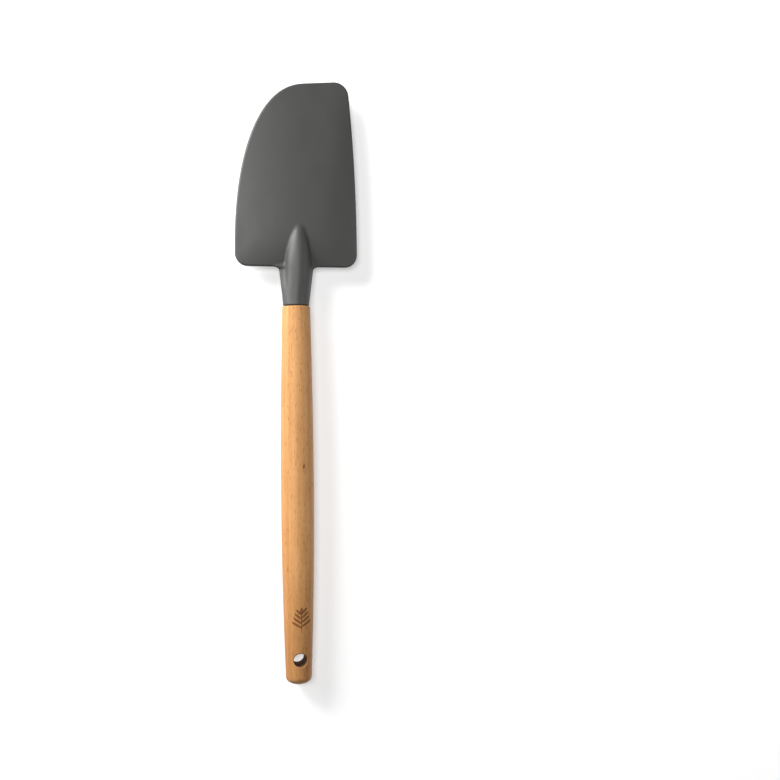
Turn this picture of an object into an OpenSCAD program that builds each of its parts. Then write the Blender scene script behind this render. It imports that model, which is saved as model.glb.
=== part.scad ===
// Silicone spatula: a moulded head with a nylon core, pushed onto the tenon of a turned beech handle.
// It lies flat. X runs across the blade, Y along the handle towards the blade's tip, and Z is up.
// The origin is under the middle of its bounding box, on the surface that it lies on.

/* [Handle] */
// Length of the wooden handle from its butt to its shoulder, without the tenon
handle_len = 199.9; // [170:0.1:230]
// Diameter at the thickest place
handle_d = 17.4; // [16:0.1:20]
// Diameter at the shoulder, where the head meets the wood
shoulder_d = 14.7; // [14:0.1:16]
// Distance from the shoulder to the thickest place
belly_y = 98; // [60:1:110]
// Diameter where the rounding of the butt begins
butt_d = 13.7; // [12:0.1:16]
// Length of the rounded end
butt_len = 3.9; // [2:0.1:7]
// Chamfer that eases the shoulder's edge
shoulder_chamfer = 0.4; // [0.2:0.1:1]

/* [Hanging hole] */
// Diameter of the hole through the handle
hole_d = 7.0; // [5:0.1:8]
// Distance from the butt to the hole's centre
hole_inset = 13.7; // [10:0.1:25]
// How much the rims of the hole are eased
hole_soft = 0.5; // [0.2:0.1:0.8]

/* [Tenon] */
// Diameter of the tenon turned on the handle
tenon_d = 8.0; // [7:0.1:8.5]
// Length of the tenon
tenon_len = 28; // [22:1:28]
// Thickness across the two flats that stop the head from twisting
tenon_flat = 6.6; // [6:0.1:6.9]
// Taper on the tenon's end that leads it into the socket
tenon_lead = 1.2; // [0.5:0.1:2]
// Clearance all round between the tenon and its socket
fit_gap = 0.06; // [0.05:0.01:0.1]

/* [Core] */
// Outside diameter of the boss that holds the socket
boss_d = 10.2; // [10:0.1:10.6]
// Width of the flat paddle inside the blade
paddle_w = 34; // [26:1:38]
// Distance from the handle's shoulder to the end of the paddle
paddle_end = 76; // [60:1:85]
// Thickness of the paddle
paddle_t = 1.6; // [1.2:0.1:2]
// Diameter of the holes that the silicone flows through
lock_d = 5; // [3:0.5:7]
// Rows of those holes
lock_rows = 3; // [1:1:4]

/* [Neck] */
// Shadow gap between the neck and the handle's shoulder
seam_gap = 0.4; // [0.2:0.05:0.6]
// Diameter of the neck at the handle
neck_d = 13.4; // [13.2:0.1:14.4]
// Width of the neck where it reaches the blade
neck_w = 18.6; // [16:0.1:20]
// Radius of the fillets between the neck and the blade
shoulder_r = 2.1; // [1:0.1:4]
// Diameter of the bullet-shaped spine at its root
spine_d = 14.5; // [13.8:0.1:14.6]
// Distance from the handle's shoulder to the spine's tip
spine_tip = 46.8; // [43:0.1:55]
// How far the spine stands to the right of the handle's axis
spine_shift = 1.2; // [0:0.1:1.5]

/* [Blade] */
// Width of the blade
blade_w = 65.2; // [55:0.1:80]
// How far the blade's middle stands to the right of the handle's axis
blade_shift = 0.5; // [0:0.05:1.5]
// Distance from the handle's shoulder to the blade's lower edge
heel_y = 20.9; // [19:0.05:25]
// Distance from the handle's shoulder to the blade's end, on the centre line
blade_end = 118.05; // [105:0.05:130]
// Slope of the blade's end in degrees, rising to the right
end_slope = 5.2; // [0:0.1:12]
// Radius of the two lower corners
heel_r = 6.9; // [3:0.1:12]
// Radius of the corner at the blade's tip
tip_r = 7.6; // [4:0.1:14]
// Radius of the long shallow bow of the right edge
edge_bow = 900; // [500:10:3000]
// Where the long curve of the left edge meets the straight end, to the right of the centre line
curve_x = 4.8; // [0:0.1:8]
// Fullness of that curve: 2 is an ellipse, and higher is squarer
curve_power = 2.3; // [2:0.01:2.8]
// Thickness of the blade at its thickest place
blade_t = 8; // [4.5:0.1:9]
// Thickness of the blade along its edges
blade_edge = 1.6; // [1.2:0.1:2.5]
// Distance from the handle's shoulder to the thickest place
crown_y = 47; // [40:1:60]

/* [Hidden] */
$fn = 72;
round_fn = 36;

silicone_grey = [0.36, 0.37, 0.36];
nylon_white = [0.86, 0.85, 0.81];
beech = [0.80, 0.60, 0.40];

curve_steps = 18;          // points along the left edge's curve
bow_steps = 4;             // points along the right edge's bow
corner_steps = 5;          // points around each corner
barrel_steps = 10;         // points along each half of the handle
butt_steps = 8;            // points around the butt
crown_levels = 6;          // layers that round the blade's faces
end_gap = 0.5;             // room beyond the tenon's end in the socket
lip = 2;                   // silicone between the neck's end and the boss
nose_len = 3.5;            // tapered nose of the boss beyond the socket
paddle_start = 24;         // where the paddle leaves the boss
paddle_r = 8;              // corner radius of the paddle
neck_end_r = 0.8;          // rounding of the neck's edge at the seam
overlap = 1;               // how far joined shapes run into each other

// Right edge of the blade at a height y
heel_top = heel_y + heel_r;
function right_x(y) = blade_w / 2 - pow(y - heel_top, 2) / (2 * edge_bow);

// Centre of the round corner at the tip
tip_x = right_x(blade_end - tip_r) - tip_r;
tip_y = blade_end + tip_x * tan(end_slope) - tip_r / cos(end_slope);

function arc(centre, r, from, to, steps) =
    [for (i = [0 : steps]) let (a = from + (to - from) * i / steps) centre + r * [cos(a), sin(a)]];

// Quarter of a superellipse, sheared so that it runs into the sloping end
function curve_point(a) =
    let (x = curve_x - (blade_w / 2 + curve_x) * pow(cos(a), 2 / curve_power),
         y = heel_top + (blade_end - heel_top) * pow(sin(a), 2 / curve_power))
    [x, y + x * tan(end_slope) * (y - heel_top) / (blade_end - heel_top)];

blade_outline = concat(
    arc([blade_w / 2 - heel_r, heel_top], heel_r, -90, 0, corner_steps),
    [for (i = [1 : bow_steps]) let (y = heel_top + (tip_y - heel_top) * i / bow_steps) [right_x(y), y]],
    arc([tip_x, tip_y], tip_r, end_slope, 90 + end_slope, corner_steps),
    [for (i = [curve_steps : -1 : 1]) curve_point(90 * i / curve_steps)],
    arc([heel_r - blade_w / 2, heel_top], heel_r, 180, 270, corner_steps));

// The seam's place along Y, and the height of the middle plane
blade_top = max([for (p = blade_outline) p[1]]);
seam_y = (handle_len - blade_top) / 2;
mid_z = handle_d / 2;

// The handle's radius at a distance d behind the shoulder
function barrel_r(d) =
    let (end_d = d < belly_y ? shoulder_d : butt_d,
         span = d < belly_y ? belly_y : handle_len - butt_len - belly_y)
    handle_d / 2 - (handle_d - end_d) / 2 * pow((d - belly_y) / span, 2);

handle_outline = concat(
    [[0, 0], [shoulder_d / 2 - shoulder_chamfer, 0]],
    [for (i = [0 : barrel_steps]) let (d = max(shoulder_chamfer, belly_y * i / barrel_steps))
        [barrel_r(d), -d]],
    [for (i = [1 : barrel_steps]) let (d = belly_y + (handle_len - butt_len - belly_y) * i / barrel_steps)
        [barrel_r(d), -d]],
    [for (i = [1 : butt_steps]) let (a = 90 * i / butt_steps)
        [butt_d / 2 * cos(a), butt_len - handle_len - butt_len * sin(a)]]);

// Puts the children in place: they are drawn with the handle's axis at x = 0, the seam at y = 0
// and the middle plane at z = 0
module placed() {
    translate([-blade_shift, seam_y, mid_z]) children();
}

// Turns what is drawn along +Z so that it runs along +Y from a start
module along_y(start = 0) {
    translate([0, start, 0]) rotate([-90, 0, 0]) children();
}

// A round bar with two flats, which is the tenon's section
module flatted_bar(d, flat, start, len) {
    intersection() {
        along_y(start) cylinder(d = d, h = len);
        translate([-d, start - overlap, -flat / 2]) cube([2 * d, len + 2 * overlap, flat]);
    }
}

module tenon() {
    flatted_bar(tenon_d, tenon_flat, -overlap, tenon_len + overlap - tenon_lead);
    intersection() {
        along_y(tenon_len - tenon_lead) cylinder(d1 = tenon_d, d2 = tenon_d - tenon_lead, h = tenon_lead);
        translate([-tenon_d, 0, -tenon_flat / 2]) cube([2 * tenon_d, 2 * tenon_len, tenon_flat]);
    }
}

// The hole through the handle, with an eased rim on both faces
module hanging_hole() {
    crest = barrel_r(handle_len - hole_inset);
    translate([0, hole_inset - handle_len, 0]) {
        cylinder(d = hole_d, h = 2 * handle_d, center = true);
        for (side = [0, 1]) mirror([0, 0, side])
            translate([0, 0, crest - 2 * hole_soft])
                cylinder(d1 = hole_d, d2 = hole_d + 4 * hole_soft, h = 4 * hole_soft);
    }
}

module handle() {
    color(beech) placed() difference() {
        union() {
            along_y() rotate_extrude() polygon(handle_outline);
            tenon();
        }
        hanging_hole();
    }
}

module rounded_plate(w, len, r) {
    translate([r - w / 2, 0]) square([w - 2 * r, len]);
    translate([-w / 2, r]) square([w, len - 2 * r]);
    for (x = [r - w / 2, w / 2 - r], y = [r, len - r]) translate([x, y]) circle(r);
}

// Holes in two columns and a few rows through the paddle
module lock_holes() {
    first_row = spine_tip + lock_d / 2;
    pitch = (paddle_end - lock_d - first_row) / max(1, lock_rows - 1);
    for (x = [-paddle_w / 4, paddle_w / 4], row = [0 : lock_rows - 1])
        translate([x, first_row + row * pitch, 0]) cylinder(d = lock_d, h = 2 * paddle_t, center = true);
}

module socket() {
    flatted_bar(tenon_d + 2 * fit_gap, tenon_flat + 2 * fit_gap, -overlap, tenon_len + end_gap + overlap);
}

// The core before its socket is cut: a boss with a tapered nose, and the paddle
module core_blank() {
    nose_y = tenon_len + end_gap;
    along_y(lip) cylinder(d = boss_d, h = nose_y - lip);
    along_y(nose_y) cylinder(d1 = boss_d, d2 = boss_d / 2, h = nose_len);
    difference() {
        translate([0, paddle_start, -paddle_t / 2]) linear_extrude(paddle_t)
            rounded_plate(paddle_w, paddle_end - paddle_start, paddle_r);
        lock_holes();
    }
}

module nylon_core() {
    color(nylon_white) placed() difference() {
        core_blank();
        socket();
    }
}

// One layer of the blade, which grows thicker as it shrinks towards the thickest place
module crown_layer(i) {
    size = 1 - i / (crown_levels + 1);
    thickness = blade_edge + (blade_t - blade_edge) * (1 - size * size);
    translate([blade_shift, crown_y, 0]) scale([size, size, 1]) translate([0, -crown_y, -thickness / 2])
        linear_extrude(thickness) polygon(blade_outline);
}

module blade() {
    for (i = [1 : crown_levels]) hull() {
        crown_layer(i - 1);
        crown_layer(i);
    }
}

// The neck runs from a round end at the seam to an oval at the blade
module neck() {
    hull() {
        along_y(seam_gap) cylinder(d = neck_d - 2 * neck_end_r, h = neck_end_r);
        along_y(seam_gap + neck_end_r) cylinder(d = neck_d, h = neck_end_r);
        translate([blade_shift / 2, 0, 0]) scale([1, 1, spine_d / neck_w])
            along_y(heel_y - shoulder_r) cylinder(d = neck_w, h = shoulder_r);
    }
}

// The web that carries the neck's fillets into the blade
module shoulder_web() {
    linear_extrude(blade_t / 2, center = true) offset(r = -shoulder_r) offset(delta = shoulder_r) {
        translate([-neck_w, heel_y]) square([2 * neck_w, heel_r]);
        polygon([[-neck_d / 2, overlap], [neck_d / 2, overlap],
                 [(blade_shift + neck_w) / 2, heel_y], [(blade_shift - neck_w) / 2, heel_y]]);
    }
}

// The bullet-shaped spine that covers the boss
module spine() {
    hull() translate([spine_shift, heel_y, 0]) intersection() {
        scale([1, 2 * (spine_tip - heel_y) / spine_d, 1]) sphere(d = spine_d, $fn = round_fn);
        translate([-spine_d, -shoulder_r, -spine_d]) cube(2 * [spine_d, spine_tip, spine_d]);
    }
}

module silicone_head() {
    color(silicone_grey) placed() difference() {
        union() {
            blade();
            neck();
            shoulder_web();
            spine();
        }
        core_blank();
        socket();
    }
}

silicone_head();
nylon_core();
handle();
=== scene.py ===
import math

import bpy
import numpy as np
from mathutils import Matrix, Vector


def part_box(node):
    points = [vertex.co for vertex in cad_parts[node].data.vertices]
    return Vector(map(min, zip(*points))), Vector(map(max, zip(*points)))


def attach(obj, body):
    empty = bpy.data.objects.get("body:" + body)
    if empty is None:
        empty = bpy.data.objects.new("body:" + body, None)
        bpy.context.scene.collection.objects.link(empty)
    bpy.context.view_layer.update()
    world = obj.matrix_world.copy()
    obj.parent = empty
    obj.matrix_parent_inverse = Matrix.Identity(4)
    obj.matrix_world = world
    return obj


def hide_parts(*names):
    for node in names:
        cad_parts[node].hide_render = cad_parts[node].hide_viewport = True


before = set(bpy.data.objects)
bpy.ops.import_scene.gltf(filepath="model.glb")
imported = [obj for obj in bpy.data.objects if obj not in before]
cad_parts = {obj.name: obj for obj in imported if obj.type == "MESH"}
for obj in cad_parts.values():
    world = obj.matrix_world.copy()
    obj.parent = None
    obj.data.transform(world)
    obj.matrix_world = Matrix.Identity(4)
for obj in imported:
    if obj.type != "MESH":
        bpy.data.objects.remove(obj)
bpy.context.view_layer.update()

# A grey silicone spatula on a turned beech handle.
# The head and the handle are each drawn as a smooth surface f(x, y, z) = 0 in millimetres, with the handle's
# axis at x = 0, the seam between head and handle at y = 0, the blade's tip towards +Y and the middle plane
# at z = 0; the core keeps its mesh from model.glb.
# The surfaces are then set in the frame. Lengths are in millimetres, and MM turns them into the frame's
# metres.
MM = 0.001

# Places from the frame
handle_low, handle_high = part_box("handle")
head_low, head_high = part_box("silicone_head")
core_low, core_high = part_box("nylon_core")
SEAM_GAP = 0.4
AXIS_X = (handle_low[0] + handle_high[0]) / 2
SEAM_Y = head_low[1] - SEAM_GAP * MM
MID_Z = (handle_low[2] + handle_high[2]) / 2

# Handle
HANDLE_D = (handle_high[0] - handle_low[0]) / MM
HANDLE_LEN = (SEAM_Y - handle_low[1]) / MM
SHOULDER_D = 14.7
BELLY_Y = 98
BUTT_D = 13.7
BUTT_LEN = 3.9
SHOULDER_R = 0.3
HOLE_D = 7.0
HOLE_Y = 13.7 - HANDLE_LEN
HOLE_R = 0.5
TENON_D = 8.0
TENON_FLAT = 6.6
TENON_LEN = (handle_high[1] - SEAM_Y) / MM
TENON_R = 1.0
TENON_ROOT = 1

# Core pocket and socket inside the head
FIT_GAP = 0.06
LIP = 2
BOSS_D = (core_high[2] - core_low[2]) / MM
SOCKET_LEN = TENON_LEN + 0.5
NOSE_LEN = 3.5
PADDLE_W = (core_high[0] - core_low[0]) / MM
PADDLE_START = 24
PADDLE_END = (core_high[1] - SEAM_Y) / MM
PADDLE_T = 1.6
PADDLE_R = 8
MOUTH_R = 0.25

# Neck and spine
NECK_D = 13.4
NECK_W = 18.6
NECK_END_R = 0.4
WEB_T = 2.6
WEB_END = 1.4
WEB_BLEND = 1.0
SPINE_D = 14.5
SPINE_TIP = 46.8
SPINE_SHIFT = 1.2
SPINE_LEAN = 0.6
SPINE_POWER = 1.85
SHOULDER_FILLET = 2.1
SPINE_FILLET = 0.6
HEEL_FADE = 3

# Blade
BLADE_W = (head_high[0] - head_low[0]) / MM
BLADE_SHIFT = -AXIS_X / MM
HEEL_Y = 20.9
BLADE_END = 118.05
END_SLOPE = math.tan(math.radians(5.2))
HEEL_R = 6.9
TIP_R = 7.6
EDGE_BOW = 900
CURVE_X = 4.8
CURVE_POWER = 2.3
BLADE_T = 8.0
BLADE_EDGE = 1.6
BLADE_EDGE_R = BLADE_EDGE / 2 - 0.05
CROWN_Y = 47
CROWN_POWER = 2.5


def join(a, b, r):
    """Both shapes, with a fillet of radius r where they meet."""
    return np.maximum(r, np.minimum(a, b)) - np.hypot(np.maximum(r - a, 0), np.maximum(r - b, 0))


def common(a, b, r):
    """What is in both shapes, with the edge between them rounded to radius r."""
    return np.minimum(-r, np.maximum(a, b)) + np.hypot(np.maximum(r + a, 0), np.maximum(r + b, 0))


def soft_join(a, b, k):
    """Both shapes, blended over a distance k without a set radius."""
    h = np.maximum(k - np.abs(a - b), 0) / k
    return np.minimum(a, b) - h * h * k / 4


def oval(x, z, half_w, half_t, past=0.0, past_len=1.0, power=2.0):
    """Distance from an oval bar, domed over past_len where past is above zero."""
    end = (past / past_len) ** power
    k = np.sqrt((x / half_w) ** 2 + (z / half_t) ** 2 + end) + 1e-9
    slope = np.sqrt((x / half_w**2) ** 2 + (z / half_t**2) ** 2 + (end / past_len) ** 2) + 1e-9
    return k * (k - 1) / slope


def flatted_bar(x, y, z, d, flat, end, r):
    """A round bar with two flats that ends at y = end."""
    bar = common(np.hypot(x, z) - d / 2, np.abs(z) - flat / 2, 0.1)
    return common(bar, y - end, r)


def handle_shape(x, y, z):
    """A turned barrel with a domed butt and a hole drilled through it, and the tenon in front."""
    cap_start = HANDLE_LEN - BUTT_LEN
    d = np.clip(-y, 0, cap_start)
    front = d < BELLY_Y
    end_d = np.where(front, SHOULDER_D, BUTT_D)
    span = np.where(front, BELLY_Y, cap_start - BELLY_Y)
    radius = HANDLE_D / 2 - (HANDLE_D - end_d) / 2 * ((d - BELLY_Y) / span) ** 2
    barrel = oval(x, z, radius, radius, np.maximum(-y - cap_start, 0), BUTT_LEN)
    barrel = common(barrel, y, SHOULDER_R)
    tenon = flatted_bar(x, y, z, TENON_D, TENON_FLAT, TENON_LEN, TENON_R)
    tenon = np.maximum(tenon, -TENON_ROOT - y)
    whole = np.minimum(barrel, tenon)
    hole = np.hypot(x, y - HOLE_Y) - HOLE_D / 2
    return common(whole, -hole, HOLE_R)


def blade_plan(x, y):
    """Distance from the blade's outline, below zero inside, and how far out (x, y) lies: 0 to 1."""
    heel_top = HEEL_Y + HEEL_R
    height = BLADE_END - heel_top
    lean = 1 + x * END_SLOPE / height
    reach = BLADE_W / 2 + CURVE_X
    u = np.maximum(CURVE_X - x, 0) / reach
    v = np.maximum(y - heel_top, 0) / (height * lean)
    g = (u**CURVE_POWER + v**CURVE_POWER) ** (1 / CURVE_POWER) + 1e-6
    slope = np.hypot((u / g) ** (CURVE_POWER - 1) / reach, (v / g) ** (CURVE_POWER - 1) / (height * lean))
    curve = (g - 1) / (slope + 1e-6)
    bow = np.hypot(x - BLADE_W / 2 + EDGE_BOW, y - heel_top) - EDGE_BOW
    plan = common(common(curve, bow, TIP_R), HEEL_Y - y, HEEL_R)
    right = np.maximum(x, 0) / (BLADE_W / 2)
    heel = np.maximum(CROWN_Y - y, 0) / (CROWN_Y - HEEL_Y)
    crown = np.clip(1 - g**CROWN_POWER, 0, 1) * np.clip(1 - right**4, 0, 1) * np.clip(1 - heel**2, 0, 1)
    return plan, crown


def stem_shape(x, y, z):
    """The round neck that runs on into the bullet-shaped spine, and the web at its two sides."""
    along = np.clip(y / HEEL_Y, 0, 1)
    smooth = along * along * (3 - 2 * along)
    radius = (NECK_D + (SPINE_D - NECK_D) * smooth) / 2
    past = np.maximum(y - HEEL_Y, 0)
    centre = SPINE_SHIFT * smooth + SPINE_LEAN * np.clip(past / (SPINE_TIP - HEEL_Y), 0, 1)
    bar = oval(x - centre, z, radius, radius, past, SPINE_TIP - HEEL_Y, SPINE_POWER)
    web_half_w = (NECK_D + (NECK_W - NECK_D) * along) / 2
    web_half_t = (NECK_D + (WEB_T - NECK_D) * along) / 2
    web = oval(x - BLADE_SHIFT / 2 * along, z, web_half_w, web_half_t, past, WEB_END)
    return common(soft_join(bar, web, WEB_BLEND), SEAM_GAP - y, NECK_END_R)


def head_shape(x, y, z):
    """The blade and its stem, with a wide fillet at the shoulders and a narrow one along the spine."""
    plan, crown = blade_plan(x - BLADE_SHIFT, y)
    half_t = BLADE_EDGE / 2 + (BLADE_T - BLADE_EDGE) / 2 * crown
    blade = common(plan, np.abs(z) - half_t, BLADE_EDGE_R)
    near_heel = np.clip((HEEL_Y + HEEL_FADE - y) / HEEL_FADE, 0, 1)
    fillet = SPINE_FILLET + (SHOULDER_FILLET - SPINE_FILLET) * near_heel
    whole = join(blade, stem_shape(x, y, z), fillet)
    return common(whole, -core_pocket(x, y, z), MOUTH_R)


def core_pocket(x, y, z):
    """The room inside the head for the core, and the way in for the tenon."""
    way_in = flatted_bar(x, y, z, TENON_D + 2 * FIT_GAP, TENON_FLAT + 2 * FIT_GAP, LIP + 1, 0.1)
    nose = np.clip((y - SOCKET_LEN) / NOSE_LEN, 0, 1)
    boss = np.hypot(x, z) - BOSS_D / 2 * (1 - nose / 2)
    boss = np.maximum(boss, np.maximum(LIP - y, y - SOCKET_LEN - NOSE_LEN))
    middle = (PADDLE_START + PADDLE_END) / 2
    half_len = (PADDLE_END - PADDLE_START) / 2
    side = np.abs(x) - PADDLE_W / 2
    end = np.abs(y - middle) - half_len
    paddle = np.maximum(common(side, end, PADDLE_R), np.abs(z) - PADDLE_T / 2)
    return np.minimum(way_in, np.minimum(boss, paddle))


# Meshing: steps from a grid point to the cells round an edge that starts there, how often a vertex is
# moved towards the surface, and how far to each side the slope is measured
CELLS_ROUND_EDGE = ((-1, -1), (0, -1), (0, 0), (-1, 0))
MOVES = 5
NUDGE = 0.01


def cut_edges(grid, value, axis):
    """The grid's edges along an axis that the surface cuts.

    Gives the point where each is cut, the four cells round it, and whether those already run
    anticlockwise as seen from outside.
    """
    inside = value < 0
    first = tuple(slice(0, -1) if i == axis else slice(None) for i in range(3))
    second = tuple(slice(1, None) if i == axis else slice(None) for i in range(3))
    ahead = np.eye(3, dtype=int)[axis]
    start = np.argwhere(inside[first] != inside[second])
    a, b = tuple(start.T), tuple((start + ahead).T)
    t = (value[a] / (value[a] - value[b]))[:, None]
    point = grid[a] + t * (grid[b] - grid[a])
    u, v = np.delete(np.eye(3, dtype=int), axis, axis=0)
    cells = [start + du * u + dv * v for du, dv in CELLS_ROUND_EDGE]
    outward = ~inside[a] if axis == 1 else inside[a]
    return point, cells, outward


def surface_net(grid, value):
    """A vertex in each cell that the surface passes through, and a quad round each edge that it cuts."""
    cuts = [cut_edges(grid, value, axis) for axis in range(3)]
    cell_shape = tuple(n - 1 for n in value.shape)
    total = np.zeros(cell_shape + (3,))
    count = np.zeros(cell_shape)
    for point, cells, _ in cuts:
        for cell in cells:
            np.add.at(total, tuple(cell.T), point)
            np.add.at(count, tuple(cell.T), 1)
    used = count > 0
    number = np.full(cell_shape, -1)
    number[used] = np.arange(used.sum())
    faces = []
    for _, cells, outward in cuts:
        quad = np.stack([number[tuple(cell.T)] for cell in cells], axis=1)
        quad[~outward] = quad[~outward][:, ::-1]
        faces.append(quad)
    return total[used] / count[used][:, None], np.concatenate(faces)


def onto_surface(points, shape, step):
    """The points moved onto shape(x, y, z) = 0 itself, down its slope a few times."""
    for _ in range(MOVES):
        here = shape(*points.T)
        slope = np.stack([
            (shape(*(points + NUDGE * e).T) - shape(*(points - NUDGE * e).T)) / (2 * NUDGE)
            for e in np.eye(3)], axis=1)
        size = np.maximum((slope**2).sum(axis=1), 0.25)
        move = -slope * (here / size)[:, None]
        far = np.linalg.norm(move, axis=1, keepdims=True)
        points = points + move * np.minimum(1, 0.5 * step / np.maximum(far, 1e-9))
    return points


def surface_mesh(name, shape, low, high, step):
    """A smooth quad mesh of shape(x, y, z) = 0 between low and high, set in the frame."""
    axes = [np.arange(a - 1.5 * step, b + 2.5 * step, step) for a, b in zip(low, high)]
    grid = np.stack(np.meshgrid(*axes, indexing="ij"), axis=-1)
    points, faces = surface_net(grid, shape(grid[..., 0], grid[..., 1], grid[..., 2]))
    placed = onto_surface(points, shape, step) * MM + np.array([AXIS_X, SEAM_Y, MID_Z])
    mesh = bpy.data.meshes.new(name)
    mesh.from_pydata(placed.tolist(), [], faces.tolist())
    mesh.shade_smooth()
    piece = bpy.data.objects.new(name, mesh)
    bpy.context.collection.objects.link(piece)
    return piece


# Materials -------------------------------------------------------------------------------------------

SILICONE_DARK = (0.0372, 0.0379, 0.0354, 1)
SILICONE_LIGHT = (0.0415, 0.0422, 0.0394, 1)
SILICONE_DUST = (0.08, 0.08, 0.076, 1)
SILICONE_ROUGH = 0.5
SILICONE_SPECULAR = 0.48
NYLON_DARK = (0.66, 0.64, 0.57, 1)
NYLON_LIGHT = (0.74, 0.72, 0.65, 1)
BEECH_LIGHT = (0.535, 0.29, 0.117, 1)
BEECH_DARK = (0.4, 0.187, 0.063, 1)
BEECH_FLECK = (0.22, 0.088, 0.028, 1)
# Painted shade towards the butt, partly also the wood's own tone
BEECH_SHADE_AND_TONE = (0.76, 0.72, 0.68, 1)
BEECH_BARE = (0.66, 0.45, 0.26, 1)
BEECH_ROUGH = 0.45
BEECH_SPECULAR = 0.15
# The hole's wall: scorch from drilling, and painted shade inside the hole
SCORCHED_AND_SHADED = (0.075, 0.032, 0.018, 1)
KNOT = (0.10, 0.032, 0.012, 1)
BURNED = (0.085, 0.027, 0.01, 1)

# Places on the handle
# Where the painted shade towards the butt begins
BUTT_SHADE_FROM = -110
KNOT_X, KNOT_Y = 2.3, -84.3
MARK_X, MARK_Y = 0.6, -165.5
MARK_LEN = 10.4
LEAF_PAIRS = 4
HOLE_DARK_R = HOLE_D / 2 + 0.12


def new_material(name):
    material = bpy.data.materials.new(name)
    material.use_nodes = True
    tree = material.node_tree
    return material, tree, tree.nodes["Principled BSDF"]


def add(tree, kind, values=None, **settings):
    """A node with its settings, and with values or links in its inputs."""
    node = tree.nodes.new(kind)
    for key, value in settings.items():
        setattr(node, key, value)
    for key, value in (values or {}).items():
        if isinstance(value, bpy.types.NodeSocket):
            tree.links.new(value, node.inputs[key])
        else:
            node.inputs[key].default_value = value
    return node


def link(tree, output, shader, key):
    tree.links.new(output, shader.inputs[key])


def noise(tree, where, scale, detail=3.0, rough=0.5):
    """Noise whose features are 1 / scale metres long along each axis."""
    stretched = add(tree, "ShaderNodeMapping", {"Vector": where, "Scale": scale}).outputs[0]
    return add(tree, "ShaderNodeTexNoise", {
        "Vector": stretched, "Scale": 1.0, "Detail": detail, "Roughness": rough}).outputs["Fac"]


def math_node(tree, operation, *values):
    return add(tree, "ShaderNodeMath", dict(enumerate(values)), operation=operation).outputs[0]


def ramp(tree, value, low, high, to_low=0.0, to_high=1.0):
    return add(tree, "ShaderNodeMapRange", {
        "Value": value, "From Min": low, "From Max": high, "To Min": to_low, "To Max": to_high},
        interpolation_type="SMOOTHSTEP").outputs[0]


def scaled(tree, value, factor):
    return math_node(tree, "MULTIPLY", value, factor)


def mix(tree, factor, first, second, blend="MIX"):
    return add(tree, "ShaderNodeMixRGB", {
        "Fac": factor, "Color1": first, "Color2": second}, blend_type=blend).outputs["Color"]


def bump(tree, height, distance, strength=1.0, under=None):
    values = {"Height": height, "Distance": distance, "Strength": strength}
    if under is not None:
        values["Normal"] = under
    return add(tree, "ShaderNodeBump", values).outputs["Normal"]


def spot(tree, where, x, y, half_w, half_len, angle=0.0, soft=0.15):
    """1 inside an oval round (x, y) as seen from above, all the way through, and 0 outside it."""
    place = (AXIS_X + x * MM, SEAM_Y + y * MM, 0)
    local = add(tree, "ShaderNodeMapping", {
        "Vector": where, "Location": place, "Rotation": (0, 0, angle),
        "Scale": (half_w * MM, half_len * MM, 1)}, vector_type="TEXTURE").outputs[0]
    out = add(tree, "ShaderNodeVectorMath", {0: local}, operation="LENGTH").outputs["Value"]
    return ramp(tree, out, 1 - soft, 1 + soft, 1.0, 0.0)


def silicone_material():
    material, tree, shader = new_material("grey_silicone")
    where = add(tree, "ShaderNodeTexCoord").outputs["Object"]
    cloud = noise(tree, where, (40, 40, 40))
    speck = ramp(tree, noise(tree, where, (3200, 3200, 3200), 1.0), 0.66, 0.74)
    tint = mix(tree, cloud, SILICONE_DARK, SILICONE_LIGHT)
    link(tree, mix(tree, scaled(tree, speck, 0.25), tint, SILICONE_DUST), shader, "Base Color")
    haze = noise(tree, where, (90, 60, 90), 4.0)
    link(tree, ramp(tree, haze, 0.3, 0.7, SILICONE_ROUGH - 0.03, SILICONE_ROUGH + 0.04), shader, "Roughness")
    height = add(tree, "ShaderNodeSeparateXYZ", {"Vector": where}).outputs["Z"]
    off_middle = math_node(tree, "ABSOLUTE", math_node(tree, "SUBTRACT", height, MID_Z))
    parting_line = ramp(tree, off_middle, 0.06 * MM, 0.16 * MM, 1.0, 0.0)
    grain = noise(tree, where, (2400, 2400, 2400), 2.0)
    fine = bump(tree, grain, 0.03 * MM, 0.6)
    link(tree, bump(tree, parting_line, 0.05 * MM, 0.8, fine), shader, "Normal")
    shader.inputs["Specular IOR Level"].default_value = SILICONE_SPECULAR
    return material


def nylon_material():
    material, tree, shader = new_material("nylon")
    where = add(tree, "ShaderNodeTexCoord").outputs["Object"]
    cloud = noise(tree, where, (120, 60, 120), 4.0)
    link(tree, mix(tree, cloud, NYLON_DARK, NYLON_LIGHT), shader, "Base Color")
    link(tree, ramp(tree, noise(tree, where, (500, 200, 500)), 0.3, 0.7, 0.4, 0.55), shader, "Roughness")
    link(tree, bump(tree, noise(tree, where, (1800, 900, 1800)), 0.03 * MM, 0.5), shader, "Normal")
    return material


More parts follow.
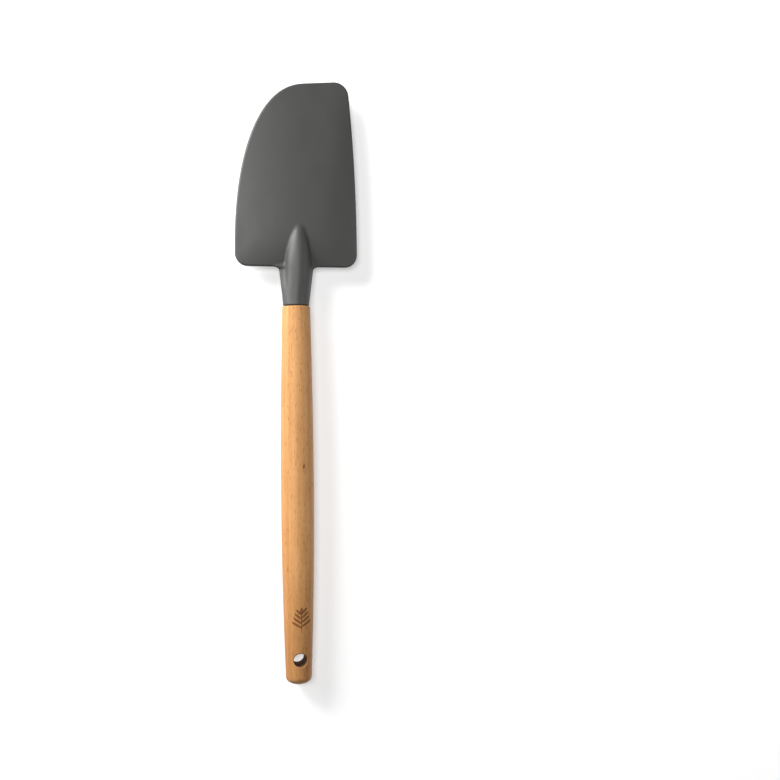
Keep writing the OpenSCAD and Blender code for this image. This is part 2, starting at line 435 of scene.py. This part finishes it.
def sprig(tree, where):
    """A generic burned sprig: a stem with pairs of leaves that grow shorter towards its top."""
    mask = spot(tree, where, MARK_X, MARK_Y, 0.28, MARK_LEN / 2)
    leaves = [(MARK_X, MARK_Y + MARK_LEN / 2, 0.8, 1.9, 0.0)]
    for pair in range(LEAF_PAIRS):
        rise = pair / (LEAF_PAIRS - 1)
        half_len = 2.8 - 0.9 * rise
        angle = math.radians(58 - 14 * rise)
        for side in (-1, 1):
            y = MARK_Y - MARK_LEN / 2 + 2.2 + (MARK_LEN - 3.6) * rise + 0.35 * side
            x = MARK_X + side * (half_len * math.sin(angle) + 0.2)
            leaves.append((x, y + half_len * math.cos(angle), 0.62, half_len, -side * angle))
    for x, y, half_w, half_len, angle in leaves:
        leaf = spot(tree, where, x, y, half_w, half_len, angle)
        vein = spot(tree, where, x, y, 0.1, 0.7 * half_len, angle, 0.4)
        leaf = math_node(tree, "SUBTRACT", leaf, scaled(tree, vein, 0.6))
        mask = math_node(tree, "MAXIMUM", mask, leaf)
    return mask


def beech_grain(tree, where):
    """Growth rings as soft bands, finer streaks in them, and the short dark flecks and pores of beech."""
    bands = noise(tree, where, (230, 5, 230), 3.0)
    streaks = noise(tree, where, (1100, 16, 1100), 4.0, 0.6)
    patches = noise(tree, where, (110, 55, 110), 2.0)
    flecks = ramp(tree, noise(tree, where, (2300, 290, 2300), 1.5), 0.58, 0.72)
    pores = ramp(tree, noise(tree, where, (6500, 500, 6500), 1.0), 0.6, 0.75)
    fine = math_node(tree, "ADD", scaled(tree, streaks, 0.3), scaled(tree, patches, 0.2))
    tone = math_node(tree, "ADD", scaled(tree, bands, 0.5), fine)
    return tone, streaks, flecks, pores


def beech_colour(tree, tone, flecks, pores, along):
    """The plain wood, darker towards the butt: painted shade for the light falling off along the handle,
    partly also the wood's own tone.
    """
    wood = mix(tree, ramp(tree, tone, 0.32, 0.68), BEECH_LIGHT, BEECH_DARK)
    wood = mix(tree, scaled(tree, flecks, 0.6), wood, BEECH_FLECK)
    wood = mix(tree, scaled(tree, pores, 0.22), wood, BEECH_FLECK)
    # Painted shade: the wood is multiplied darker from here to the butt, standing in for the light falling
    # off, partly also the wood's own tone
    butt_shade_and_tone = ramp(tree, along, SEAM_Y + BUTT_SHADE_FROM * MM, handle_low[1])
    return mix(tree, butt_shade_and_tone, wood, BEECH_SHADE_AND_TONE, "MULTIPLY")


def top_marks(tree, where, wood, burn, height):
    """The wood with a pin knot in a faint halo, and the burned sprig, all on the top face only."""
    on_top = math_node(tree, "GREATER_THAN", height, MID_Z)
    halo = spot(tree, where, KNOT_X, KNOT_Y, 1.3, 3.6, 0.1, 0.7)
    knot = spot(tree, where, KNOT_X, KNOT_Y, 0.42, 1.15, -0.15, 0.35)
    for mask, amount, colour in ((halo, 0.25, BEECH_FLECK), (knot, 0.9, KNOT), (burn, 0.95, BURNED)):
        wood = mix(tree, scaled(tree, math_node(tree, "MULTIPLY", mask, on_top), amount), wood, colour)
    return wood


def beech_material():
    material, tree, shader = new_material("beech")
    where = add(tree, "ShaderNodeTexCoord").outputs["Object"]
    split = add(tree, "ShaderNodeSeparateXYZ", {"Vector": where}).outputs
    tone, streaks, flecks, pores = beech_grain(tree, where)
    wood = beech_colour(tree, tone, flecks, pores, split["Y"])

    # Bare wood on the tenon, and the wall of the drilled hole painted dark, partly for its scorch and partly
    # as painted shade inside the hole
    bare = ramp(tree, split["Y"], SEAM_Y - 0.2 * MM, SEAM_Y + 0.4 * MM)
    wood = mix(tree, scaled(tree, bare, 0.6), wood, BEECH_BARE)
    # Painted shade: the hole's wall is darkened partly for the shade inside the hole and partly for the
    # scorch of drilling
    scorch_and_shade = spot(tree, where, 0, HOLE_Y, HOLE_DARK_R, HOLE_DARK_R, soft=0.03)
    wood = mix(tree, scaled(tree, scorch_and_shade, 0.85), wood, SCORCHED_AND_SHADED)

    # The burn is uneven, dull and sunk
    wobble = scaled(tree, noise(tree, where, (1500, 900, 1500)), 0.35)
    burn = math_node(tree, "MULTIPLY", sprig(tree, where), math_node(tree, "ADD", wobble, 0.72))
    link(tree, top_marks(tree, where, wood, burn, split["Z"]), shader, "Base Color")
    rough = math_node(tree, "MAXIMUM", burn, math_node(tree, "MAXIMUM", bare, scorch_and_shade))
    rough = math_node(tree, "MAXIMUM", rough, scaled(tree, flecks, 0.4))
    link(tree, ramp(tree, rough, 0.0, 1.0, BEECH_ROUGH, 0.8), shader, "Roughness")
    relief = math_node(tree, "SUBTRACT", streaks, scaled(tree, flecks, 0.3))
    relief = math_node(tree, "SUBTRACT", relief, scaled(tree, pores, 0.4))
    relief = math_node(tree, "SUBTRACT", relief, burn)
    link(tree, bump(tree, relief, 0.05 * MM, 0.6), shader, "Normal")
    shader.inputs["Specular IOR Level"].default_value = BEECH_SPECULAR
    return material


def paint(piece, material):
    piece.data.materials.clear()
    piece.data.materials.append(material)


# Pieces ----------------------------------------------------------------------------------------------

STEP = 0.45

head = surface_mesh("silicone_head_skin", head_shape,
                    (BLADE_SHIFT - BLADE_W / 2, SEAM_GAP, -SPINE_D / 2),
                    (BLADE_SHIFT + BLADE_W / 2, (head_high[1] - SEAM_Y) / MM, SPINE_D / 2), STEP)
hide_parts("silicone_head")
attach(head, "head")
paint(head, silicone_material())

handle = surface_mesh("beech_handle", handle_shape,
                      (-HANDLE_D / 2, -HANDLE_LEN, -HANDLE_D / 2),
                      (HANDLE_D / 2, TENON_LEN, HANDLE_D / 2), STEP)
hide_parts("handle")
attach(handle, "handle")
paint(handle, beech_material())

paint(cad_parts["nylon_core"], nylon_material())


# Floor, lights and camera ----------------------------------------------------------------------------

FLOOR_BASE = 0.755
FLOOR_GLOW = 0.33
WALL_GLOW = 0.45
WORLD_GLOW = 0.01

# Name, place, side and power of each lamp, in metres and watts
LAMPS = [
    ("low_light", (-0.85, 0.35, 0.12), 0.3, 6.4),
    ("key_light", (-0.6, 0.6, 0.4), 0.4, 13.8),
    ("top_light", (-0.25, 0.1, 0.9), 0.3, 4.3),
    ("fill_light", (0.7, 0.0, 0.5), 0.5, 2.4),
]


def glowing_material(name, base, glow):
    """A dull, colourless material that glows evenly."""
    material, tree, shader = new_material(name)
    shader.inputs["Base Color"].default_value = (base, base, base, 1)
    shader.inputs["Roughness"].default_value = 0.9
    shader.inputs["Specular IOR Level"].default_value = 0.0
    shader.inputs["Emission Color"].default_value = (1, 1, 1, 1)
    shader.inputs["Emission Strength"].default_value = glow
    return material


def floor():
    bpy.ops.mesh.primitive_plane_add(size=8, location=(0, 0, 0))
    plane = bpy.context.object
    plane.name = "studio_floor"
    paint(plane, glowing_material("white_floor", FLOOR_BASE, FLOOR_GLOW))


def backdrop():
    """A pale wall all round, for views from the side. It is seen, but lights nothing."""
    bpy.ops.mesh.primitive_cylinder_add(vertices=64, radius=3.9, depth=6, end_fill_type="NOTHING")
    wall = bpy.context.object
    wall.name = "studio_wall"
    wall.visible_diffuse = False
    wall.visible_glossy = False
    wall.visible_shadow = False
    paint(wall, glowing_material("pale_wall", 0, WALL_GLOW))


def lamp(name, place, side, power):
    """A square area light that points at the frame's origin."""
    data = bpy.data.lights.new(name, "AREA")
    data.shape = "SQUARE"
    data.size = side
    data.energy = power
    light = bpy.data.objects.new(name, data)
    light.location = place
    light.rotation_euler = (-Vector(place)).to_track_quat("-Z", "Y").to_euler()
    bpy.context.collection.objects.link(light)


def world_light(strength):
    world = bpy.data.worlds.new("studio")
    world.use_nodes = True
    background = world.node_tree.nodes["Background"]
    background.inputs["Color"].default_value = (1, 1, 1, 1)
    background.inputs["Strength"].default_value = strength
    bpy.context.scene.world = world


# The camera looks down on the spatula, which lies left of the picture's centre and is seen rolled
SENSOR_W = 36
VIEW_DISTANCE = 0.60
VIEW_WIDTH = 0.4134
VIEW_ROLL = math.radians(13)
VIEW_TWIST = math.radians(0.44)
SEAM_IN_VIEW = Vector((-0.0498, 0.0443, 0))


def camera():
    data = bpy.data.cameras.new("camera")
    data.sensor_width = SENSOR_W
    data.lens = SENSOR_W * VIEW_DISTANCE / VIEW_WIDTH
    data.clip_start = 0.01
    eye = bpy.data.objects.new("camera", data)
    bpy.context.collection.objects.link(eye)
    turn = (Matrix.Rotation(VIEW_TWIST, 3, "Z") @ Matrix.Rotation(VIEW_ROLL, 3, "Y")).transposed()
    seam = Vector((AXIS_X, SEAM_Y, MID_Z))
    place = seam + turn @ (Vector((0, 0, VIEW_DISTANCE)) - SEAM_IN_VIEW)
    eye.matrix_world = Matrix.Translation(place) @ turn.to_4x4()
    bpy.context.scene.camera = eye


floor()
backdrop()
world_light(WORLD_GLOW)
for name, place, side, power in LAMPS:
    lamp(name, place, side, power)
camera()
bpy.context.scene.view_settings.view_transform = "Standard"
